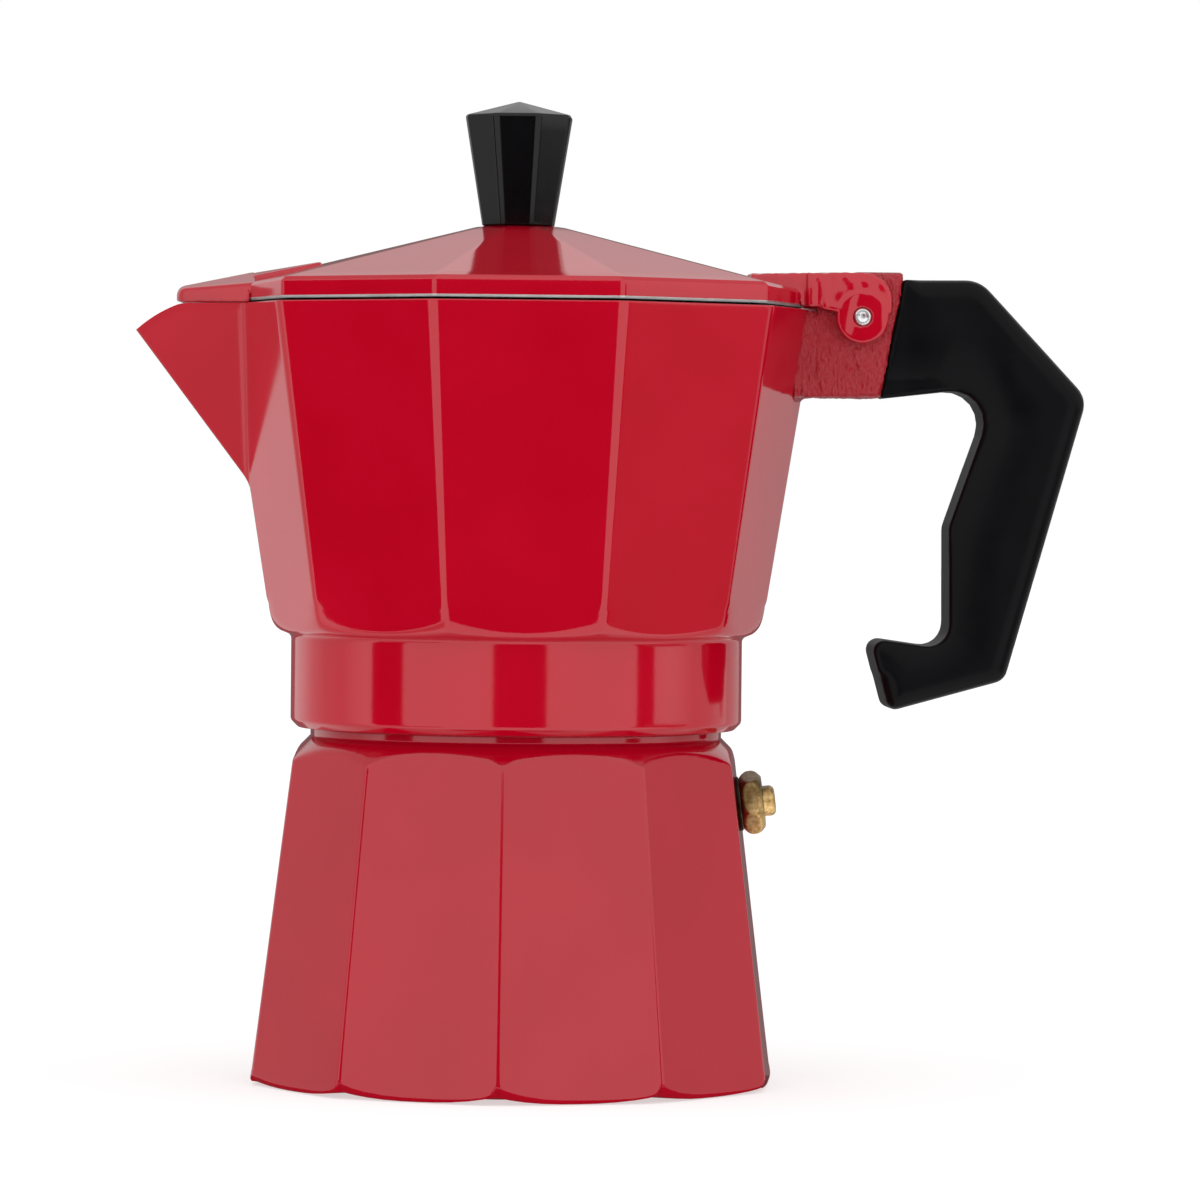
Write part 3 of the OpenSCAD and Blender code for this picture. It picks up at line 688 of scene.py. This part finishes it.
def thread(name, root_r, crest_r, low, high, start, body, slot):
    """A screw thread's ridge, which fades out at both ends."""
    turns = (high - low) / PITCH
    steps = int(turns * 90)
    points = []
    for i in range(steps + 1):
        a = 2 * math.pi * turns * i / steps
        grow = float(ease(0, 0.12, i / steps) * ease(0, 0.12, 1 - i / steps))
        crest = root_r + (crest_r - root_r) * max(grow, 0.02)
        z = low + PITCH * a / (2 * math.pi)
        for r, dz in ((root_r, -THREAD_HALF_W), (crest, -0.2), (crest, 0.2), (root_r, THREAD_HALF_W)):
            points.append((r * math.cos(a + start), r * math.sin(a + start), z + dz))
    faces = grid_faces(steps + 1, 4) + [(3, 2, 1, 0), tuple(4 * steps + k for k in range(4))]
    piece = new_object(name, points, faces, [ALUMINIUM])
    flat_shaded(piece)
    finish_piece(piece, body, slot)


def flat_shaded(piece):
    piece.data.polygons.foreach_set("use_smooth", [False] * len(piece.data.polygons))


# ---------------------------------------------------------------- collector

def spout_reach(angles, z, shift=0.0):
    """How far the spout goes along each ray from the axis: its sides are flat and meet in the keel."""
    keel = [(KEEL_LOW[0], 0, KEEL_LOW[1]), (KEEL_TIP[0], 0, KEEL_TIP[1])]
    normal, offset = plane(keel + [SPOUT_ROOT], (0, 0, RIM_Z))
    facing = normal[0] * np.cos(angles) + normal[1] * np.abs(np.sin(angles))
    reach = (offset + normal[0] * shift - normal[2] * z) / np.maximum(facing, 0.05)
    return np.where(np.cos(angles) < -0.8, reach, 0.0)


def collector_reach(angles, z, k):
    radius = LOW_R + COLLECTOR_SLOPE * (z - UNDER_Z + UNDER_R)
    body = facets(angles, radius, 0, k)
    return smooth_max(body, spout_reach(angles, z), 0.8)


def cavity_reach(angles, z):
    radius = LOW_R + COLLECTOR_SLOPE * (z - UNDER_Z + UNDER_R) - COLLECTOR_WALL / FLAT
    return smooth_max(facets(angles, radius, 0, 1.5), spout_reach(angles, z, SPOUT_SHIFT), 1.5)


def rim_height(angles, reach_at):
    """The rim is level, and falls along the curved pouring edge of the spout."""
    z = np.full(len(angles), RIM_Z)
    for _ in range(30):
        x = reach_at(angles, z) * np.cos(angles)
        fall = LIP_Z + np.sqrt(np.clip(LIP_R ** 2 - np.clip(x - LIP_X, -LIP_R, 0) ** 2, 1, None))
        z = 0.5 * z + 0.5 * smooth_min(fall, RIM_Z, 0.3)
    return z


def make_collector():
    """One shell with the spout, its cavity and floor, the seats for plate and ring, and the thread inside."""
    spout = np.arange(math.radians(156), math.radians(204), math.radians(0.3))
    angles = ring_angles(0, extra=spout)

    def outer(a, z):
        return collector_reach(a, z, 0.45 + 0.35 * (z - UNDER_Z) / (RIM_Z - UNDER_Z))

    skirt = rounded([
        (THREAD_BORE_R + 0.6, SKIRT_Z, 0), (SKIRT_R - 1.2, SKIRT_Z, 0.5), (SKIRT_R, SKIRT_Z + 1.2, 1.0),
        (SKIRT_R, SKIRT_Z + 2.6, 0), (SKIRT_R, UNDER_Z - UNDER_R - 1.2, 0),
        (SKIRT_R, UNDER_Z - UNDER_R + 0.1, 1.0), (SKIRT_R + 1.5, UNDER_Z - UNDER_R + 0.5, 0)], closed=False)
    loops = [tuple(p) for p in skirt[:-1]]
    for a in np.radians(np.linspace(-61, 0, 24)):
        z = UNDER_Z + UNDER_R * math.sin(a)
        loops.append((smooth_min(UNDER_X + UNDER_R * math.cos(a), outer(angles, z), 1.3), z))
    top = rim_height(angles, outer)
    rest = np.linspace(0, 1, 48)[1:]
    for t in rest:
        z = UNDER_Z + (top - 0.25 - UNDER_Z) * t
        under = UNDER_X + UNDER_R + 2 * (z - UNDER_Z)
        loops.append((smooth_min(under, outer(angles, z), 1.3), z))
    lip = outer(angles, top)
    loops += [(lip - 0.03, top - 0.12), (lip - 0.1, top - 0.04), (lip - 0.25, top)]
    painted = len(loops)
    back = np.minimum(cavity_reach(angles, top), lip - COLLECTOR_LIP)
    loops += [(back + 0.3, top), (back + 0.1, top - 0.08), (back, top - 0.3)]
    floor_z = FLOOR_Z + FLOOR_ROUND
    for t in np.linspace(1, 0, 44)[1:]:
        z = floor_z + (top - 0.3 - floor_z) * t
        loops.append((np.minimum(cavity_reach(angles, z), outer(angles, z) - COLLECTOR_LIP), z))
    low_r = cavity_reach(angles, floor_z) - FLOOR_ROUND
    for a in np.radians(np.linspace(0, 90, 9)[1:]):
        loops.append((low_r + FLOOR_ROUND * math.cos(a), floor_z - FLOOR_ROUND * math.sin(a)))
    seat = node_box("gasket")[1][2] + PLAY
    gasket_r = node_box("gasket")[1][0] + PLAY
    plate_r = node_box("filter_plate")[1][0] + 0.15
    inside = rounded([
        (20, FLOOR_Z, 0), (COLUMN_R, FLOOR_Z, 0), (COLUMN_R, seat + 1.5, 0), (24, seat + 0.7, 0),
        (plate_r, seat + 0.7, 0), (plate_r, seat, 0.2), (gasket_r, seat, 0.3), (gasket_r, seat - 2.1, 0.3),
        (THREAD_BORE_R, seat - 3.7, 0.3), (THREAD_BORE_R, SKIRT_Z + 0.6, 0.3),
        (THREAD_BORE_R + 0.6, SKIRT_Z, 0)], closed=False)[:-1]
    loops += [tuple(p) for p in inside]
    kinds = [0] * (painted - 1) + [1] * (len(loops) - painted + 1)
    shell = turned("collector_shell", angles, loops, [RED, CAST_ALUMINIUM], kinds, ring=True)
    finish_piece(shell, "collector", "red_enamel", "collector")
    thread("collector_thread", THREAD_BORE_R + 0.2, THREAD_BORE_R - 0.85, 59.9, 65.2, math.pi * 0.75,
           "collector", "aluminium")


def wall_field(x, y, z):
    """Distance outside the collector's wall, near the handle."""
    radius = LOW_R + COLLECTOR_SLOPE * (z - UNDER_Z + UNDER_R)
    return FLAT * (np.hypot(x, y) - facets(np.arctan2(y, x), radius, 0, 0.8))


def from_pin(x, z):
    """Distance from the hinge pin's axis."""
    return np.hypot(x - PIN_X, z - PIN_Z)


def make_bracket():
    """The cast lug that carries the hinge pin and the handle."""
    outline = rounded(BRACKET_SIDE)

    def lug(x, y, z):
        side = from_path(outline, x, z)
        body = extrude(side, y, BRACKET_W / 2, 0.7)
        rough = 0.09 * lumps(x, y, z / 1.8, 0.9, 3) + 0.06 * lumps(x, y, z / 1.5, 0.45, 4)
        keep = ease(0.3, 1.2, from_pin(x, z) - 4.4) * ease(0.1, 0.5, 130 - z)
        body = body + rough * keep
        wall = np.maximum(wall_field(x, y, z) + 0.05, z - 123.5)
        body = smooth_min(body, wall, 1.2)
        body = smooth_max(body, PIN_BORE - from_pin(x, z), 0.2)
        return smooth_max(body, 43.6 - x, 0.3)

    low, high = (43, -9, 106), (62, 9, 131)
    piece = carved("bracket", lambda x, y, z: np.maximum(lug(x, y, z), np.abs(y) - 8.0), low, high, FINE,
                   [RED_CAST_SHADED])
    finish_piece(piece, "collector", "red_enamel")


# ---------------------------------------------------------------- lid

def sink(angles, radius):
    """How far the roof drops towards its two corners over the spout and the hinge."""
    x, y = np.abs(np.cos(angles)), np.abs(np.sin(angles))
    across = y / np.maximum(x + y * math.tan(HALF_SIDE), 1e-6) / math.tan(2 * HALF_SIDE)
    share = np.clip(1 - across * (1 + math.tan(2 * HALF_SIDE) * math.tan(HALF_SIDE)), 0, 1)
    return ROOF_SINK * share * np.clip((radius - LID_FLAT_R) / (LID_R - LID_FLAT_R), 0, 1)


def make_lid():
    """The shell: roof, rim, bare lower edge and hollow underside."""
    angles = ring_angles(0)

    # The corner over the hinge is cut off flat, so that it clears the bracket when the lid opens
    hinge_side = np.where(np.cos(angles) > 0.9, NOTCH_X / np.cos(angles), LID_R)

    def reach(radius):
        return np.minimum(facets(angles, radius, 0, min(LID_ROUND, radius * 0.1)), hinge_side)

    knee = LID_Z + LID_RIM
    top = rounded([
        (LID_FLAT_R, LID_TOP, 0), (LID_R - 0.6, knee + 0.45, 0.35), (LID_R, knee - 0.15, 0.35),
        (LID_R, LID_Z + 0.45, 0), (LID_R - 0.08, LID_Z + 0.1, 0), (LID_R - 0.25, LID_Z, 0)], closed=False)
    under_r = LID_R - LID_WALL - 0.3
    inside = rounded([(under_r, LID_Z, 0), (under_r, knee - 0.55 * LID_WALL, 1.5),
                      (LID_FLAT_R, LID_TOP - 1.1 * LID_WALL, 0)], closed=False)
    loops = [(0, LID_TOP), (3.0, LID_TOP)]
    loops.append((reach(top[0][0]), top[0][1]))
    for t in np.linspace(0, 1, 12)[1:]:
        r, z = top[0] + (top[1] - top[0]) * t
        loops.append((reach(r), z - sink(angles, r)))
    loops += [(reach(r), z - sink(angles, r) * (z > LID_Z + 1)) for r, z in top[2:]]
    painted = len(loops) - 2
    loops += [(reach(r), z - sink(angles, r) * (z > LID_Z + 1)) for r, z in inside]
    loops.append((0, LID_TOP - 1.1 * LID_WALL))
    kinds = [0] * (painted - 1) + [1] * (len(loops) - painted)
    shell = turned("lid_shell", angles, loops, [RED, CAST_ALUMINIUM], kinds)
    finish_piece(shell, "lid", "red_enamel", "lid")


def roof_field(x, y, z):
    """Distance above the lid's roof and outside its rim."""
    slope = (LID_TOP - LID_Z - LID_RIM) / (LID_R - 0.45 - LID_FLAT_R)
    radius = np.hypot(x, y) * LID_R / np.maximum(facets(np.arctan2(y, x), LID_R, 0, LID_ROUND), 1)
    roof = z - LID_TOP + slope * (radius - LID_FLAT_R) + sink(np.arctan2(y, x), radius)
    return np.maximum(roof / math.hypot(1, slope), (radius - LID_R) * FLAT)


def make_beak():
    """The lid's cover over the spout."""
    side_x, side_y = BEAK_SIDE
    ridge_x, ridge_z = BEAK_RIDGE
    side_z = LID_Z + LID_RIM - 0.25
    inside = (side_x, 0, RIM_Z + 2)

    def visor(x, y, z):
        """Over the spout: two flat faces that meet in a ridge, with upright sides."""
        top = half_space([(BEAK_TIP_X, 0, RIM_Z + 2.65), (side_x, side_y, side_z), (side_x, 0, BEAK_FOLD_Z)],
                         inside, x, y, z)
        side = half_space([(BEAK_TIP_X, 2.5, RIM_Z), (side_x, side_y, RIM_Z),
                           (side_x, side_y - 0.35, side_z)], inside, x, y, z)
        body = smooth_max(top, side, 0.7)
        body = smooth_max(body, BEAK_TIP_X - x, 1.4)
        return smooth_max(body, x - side_x - 0.05 * y, 0.3)

    def rib(x, y, z):
        """Runs on up the roof and gets narrower and lower."""
        along = (x - side_x) / (ridge_x - side_x)
        half = RIB_HALF_W * (1 - along) + 0.9 * along
        crest = BEAK_FOLD_Z - 0.15 + (ridge_z - BEAK_FOLD_Z + 0.15) * along
        body = smooth_max((y - half) * 0.92 + (z - crest) * 0.35, z - crest + 0.13 * y, 0.45)
        body = smooth_max(body, x - ridge_x, 0.6)
        return np.maximum(body, side_x - 1 - x)

    def beak(x, y, z):
        y = np.abs(y)
        under = RIM_Z + 0.1 + 0.5 * ease(-53, -56, x) - z
        body = smooth_min(rib(x, y, z), roof_field(x, y, z) + 0.06, 0.5)
        body = np.maximum(body, x - ridge_x - 2)
        body = np.minimum(body, visor(x, y, z))
        body = smooth_max(body, under, 0.25)
        return np.maximum(body, -roof_field(x, y, z + 1.2))

    low, high = (BEAK_TIP_X - 1, -15, RIM_Z - 1), (-29, 15, ridge_z + 1)
    piece = carved("lid_beak", beak, low, high, FINE, [RED])
    finish_piece(piece, "lid", "red_enamel")


def make_ears():
    """The two ears beside the bracket, bored for the pin, and the tongue that joins them to the roof."""
    side = rounded([
        (TONGUE_X, LID_Z + 1.5, 0), (NOTCH_X + 1.4, LID_Z + 0.05, 0.3), (NOTCH_X + 6, LID_Z - 0.9, 0.3),
        (PIN_X + 4.7, LID_Z - 0.9, 0.3), (PIN_X + 4.7, EAR_TOP, 4.6), (TONGUE_X, EAR_TOP - 0.5, 0)])

    def ears(x, y, z):
        plate = from_path(side, x, z)
        eye = from_pin(x, z) - EAR_R
        draft = 0.06 * (EAR_TOP - z)
        half = EAR_OUT - 0.45 + draft - 0.7 * ease(NOTCH_X + 0.5, NOTCH_X + 0.1, x)
        block = extrude(plate, y, half, 0.45)
        ring = extrude(eye, y, EAR_OUT - 0.05 - 0.05 * (LID_Z - z), 0.4)
        calm = ease(EAR_R + 2.5, EAR_R, from_pin(x, z))
        waves = 0.09 * (1 - calm) * lumps(x, y, z / 3, 1.2, 11) + 0.08 * calm * lumps(x, y, z / 2, 1.5, 11)
        body = smooth_min(block, ring, 0.25) + waves
        body = smooth_min(body, roof_field(x, y, z) + 0.06, 0.8)
        notch = np.maximum(NOTCH_X - x, np.abs(y) - EAR_IN)
        body = smooth_max(body, -notch, 0.5)
        return smooth_max(body, PIN_BORE - from_pin(x, z), 0.2)

    def trimmed(x, y, z):
        body = np.maximum(ears(x, y, z), np.maximum(TONGUE_X - 1.5 - x, np.abs(y) - 10))
        body = np.maximum(body, np.minimum(LID_Z + 0.02 - z, NOTCH_X + 1.3 - x))
        return np.maximum(body, -roof_field(x, y, z + 1.2))

    low, high = (TONGUE_X - 2, -11, PIN_Z - EAR_R - 1), (PIN_X + 6, 11, EAR_TOP + 1)
    piece = carved("lid_ears", trimmed, low, high, FINE, [RED])
    finish_piece(piece, "lid", "red_enamel")


# ---------------------------------------------------------------- knob

def make_knob():
    """Eight-sided, with chamfered corners and a low pyramid on top; the bore holds the insert."""
    half = math.pi / 8
    chamfers = [KNOB_TURN + 2 * half * i + side * math.radians(d)
                for i in range(8) for side in (-1, 1) for d in (2.2, 2.8, 3.1, 3.4, 3.7, 4.3)]
    angles = ring_angles(KNOB_TURN, 8, extra=chamfers)
    base, cap = LID_TOP + 0.02, KNOB_TOP - KNOB_CAP

    def reach(radius):
        flats = facets(angles, radius, KNOB_TURN, 0.05, 8)
        cut = radius * (1 - KNOB_CHAMFER) / math.cos(half)
        return smooth_min(flats, facets(angles, cut, KNOB_TURN + half, 0.05, 8), 0.08)

    side = rounded([
        (KNOB_LOW_R - 0.5, base, 0), (KNOB_LOW_R, base + 0.3, 0.2), (KNOB_HIGH_R, cap - 0.1, 0.55),
        (0.3, KNOB_TOP - 0.03, 0.4), (0, KNOB_TOP, 0)], closed=False, steps=8)
    loops = [(0, base + 9), (2.8, base + 9), (2.8, base)]
    for (r0, z0), (r1, z1) in zip(side, side[1:]):
        parts = max(1, int(abs(z1 - z0) / 2))
        for t in range(parts):
            loops.append((reach(r0 + (r1 - r0) * t / parts), z0 + (z1 - z0) * t / parts))
    loops.append((0, KNOB_TOP))
    knob = turned("knob_grip", angles, loops, [GLOSS_BLACK], place=Matrix.Translation((KNOB_X, 0, 0)))
    finish_piece(knob, "lid", "black_plastic", "knob")


# ---------------------------------------------------------------- handle

def make_handle():
    """The grip; it is thinner and sharper towards the hand's opening than along its back."""
    outline = rounded(HANDLE_OUTER + HANDLE_INNER)
    outer = rounded([(61.1, 129.05, 0)] + HANDLE_OUTER[1:] + [(58, 64, 0)], closed=False)
    inner = rounded([(57, 68, 0)] + HANDLE_INNER[:4] + [(57.55, 110, 0)], closed=False)

    def grip(x, y, z):
        shape = from_path(outline, x, z)
        far = from_path(outer, x, z, closed=False) - from_path(inner, x, z, closed=False)
        edge = HANDLE_EDGES[0] + (HANDLE_EDGES[1] - HANDLE_EDGES[0]) * ease(2.0, -2.0, far)
        edge = edge - (edge - 0.5) * ease(64.5, 61.5, x) * (z > 105)
        waist = HANDLE_W / 2 - HANDLE_TIGHT * ease(79, 61, x) * ease(98, 108, z)
        thinner = np.clip((far + 3) / 14, 0, 1.2) ** 2
        return extrude(shape, y, waist - thinner, edge)

    low, high = (54.5, -9.2, 58.5), (92, 9.2, 130.5)
    piece = carved("handle_grip", grip, low, high, COARSE, [BLACK])
    finish_piece(piece, "collector", "black_plastic", "handle")


# ---------------------------------------------------------------- safety valve and pin

def valve_place():
    """Puts a thing on the valve's axis, with its own Z pointing out of the boiler."""
    seat_r = FLAT * (BASE_R - VALVE_Z * BOILER_SLOPE)
    tilt = math.atan(FLAT * BOILER_SLOPE)
    return (Matrix.Rotation(VALVE_ANGLE, 4, "Z") @ Matrix.Translation((seat_r, 0, VALVE_Z))
            @ Matrix.Rotation(math.pi / 2 - tilt, 4, "Y"))


def make_valve():
    """The valve's body: threaded stub, chamfered hexagon and boss, bored for plunger and spring."""
    angles = ring_angles(HEX_TURN, 6)
    loops = [(STUB_R, STUB_BACK), (STUB_R, HEX_LOW), (STUB_R + 0.2, HEX_LOW)]
    for z in np.linspace(HEX_LOW, HEX_HIGH, 33):
        deep = min(z - HEX_LOW, HEX_HIGH - z)
        cone = 4.0 + 1.2 * (1 - (1 - deep / HEX_CHAMFER) ** 2)
        loops.append((smooth_min(facets(angles, HEX_R, HEX_TURN, 0.15, 6), cone, 0.12), z))
    loops += [(3.4, HEX_HIGH + 0.02), (2.6, HEX_HIGH + 0.02), (BOSS_R, HEX_HIGH + 0.15)]
    boss = rounded([(BOSS_R, HEX_HIGH + 0.15, 0), (BOSS_R, BOSS_Z, 0.9), (GUIDE_R, BOSS_Z, 0)], closed=False)
    loops += [tuple(p) for p in boss[1:]]
    loops += [(GUIDE_R, ROOM_Z), (ROOM_R, ROOM_Z), (ROOM_R, STUB_BACK)]
    nut = turned("valve_nut", angles, loops, [BRASS], ring=True, place=valve_place())
    finish_piece(nut, "boiler", "brass", "valve_body")


def make_washer():
    """Under the nut, and hidden by its chamfer; nearly black, as painted shade in the gap between nut and
    boiler.
    """
    side = rounded([(STUB_R + 0.05, -0.1, 0), (WASHER_R, -0.1, 0), (WASHER_R, 0.5, 0.15),
                    (STUB_R + 0.05, 0.5, 0)], closed=False)
    loops = [tuple(p) for p in side]
    angles = np.linspace(0, 2 * math.pi, 65)[:-1]
    washer = turned("valve_washer_ring", angles, loops, [SHADE_DARK_METAL], ring=True, place=valve_place())
    finish_piece(washer, "boiler", "aluminium", "valve_washer")


def make_spring():
    """The safety valve's spring, a fixed coil of wire on the valve's axis."""
    per_turn, sides = 40, 10
    rings = SPRING_TURNS * per_turn + 1
    turn = np.repeat(np.linspace(0, SPRING_TURNS * 2 * math.pi, rings), sides)
    round_wire = np.tile(np.arange(sides) * 2 * math.pi / sides, rings)
    reach = SPRING_R + WIRE_R * np.cos(round_wire)
    low, high = SPRING_Z
    height = low + (high - low) * turn / turn[-1] + WIRE_R * np.sin(round_wire)
    place = valve_place()
    points = [place @ Vector(p) for p in zip(reach * np.cos(turn), reach * np.sin(turn), height)]
    faces = grid_faces(rings, sides)
    faces += [tuple(reversed(range(sides))), tuple(range((rings - 1) * sides, rings * sides))]
    spring = new_object("valve_spring_coil", points, faces, [STEEL])
    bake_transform(spring)
    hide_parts("valve_spring")


def make_pin():
    """Hinge pin with a peened head at each end, dimpled by its punch."""
    reach = node_box("hinge_pin")[1][1]
    side = rounded([(0, -reach + 0.25, 0), (0.55, -reach + 0.2, 0.3), (0.8, -reach, 0.1), (1.15, -reach, 0.2),
                    (1.4, -reach + 0.3, 0.2), (1.4, 0, 0)], closed=False)
    half = [tuple(p) for p in side]
    loops = half + [(r, -z) for r, z in reversed(half)]
    place = Matrix.Translation((PIN_X, 0, PIN_Z)) @ Matrix.Rotation(math.pi / 2, 4, "X")
    pin = turned("hinge_pin_rod", np.linspace(0, 2 * math.pi, 49)[:-1], loops, [STEEL], place=place)
    finish_piece(pin, "collector", "zinc_steel", "hinge_pin")


# ---------------------------------------------------------------- CAD nodes that keep their shape

def dress(node, finish):
    thing = frame["nodes"][node]
    thing.data.materials.clear()
    thing.data.materials.append(finish)


camera()
world()
floor()
cards()
make_boiler()
make_collector()
make_bracket()
make_lid()
make_beak()
make_ears()
make_knob()
make_handle()
make_valve()
make_washer()
make_spring()
make_pin()
for node in ("valve_plunger", "valve_retainer", "knob_insert"):
    dress(node, BRASS)
for node in ("funnel", "funnel_sieve", "filter_plate", "riser_column", "knob_washer"):
    dress(node, ALUMINIUM)
for node in ("handle_screw", "knob_screw"):
    dress(node, STEEL)
dress("gasket", RUBBER)

scene = bpy.context.scene
scene.view_settings.view_transform = "Standard"
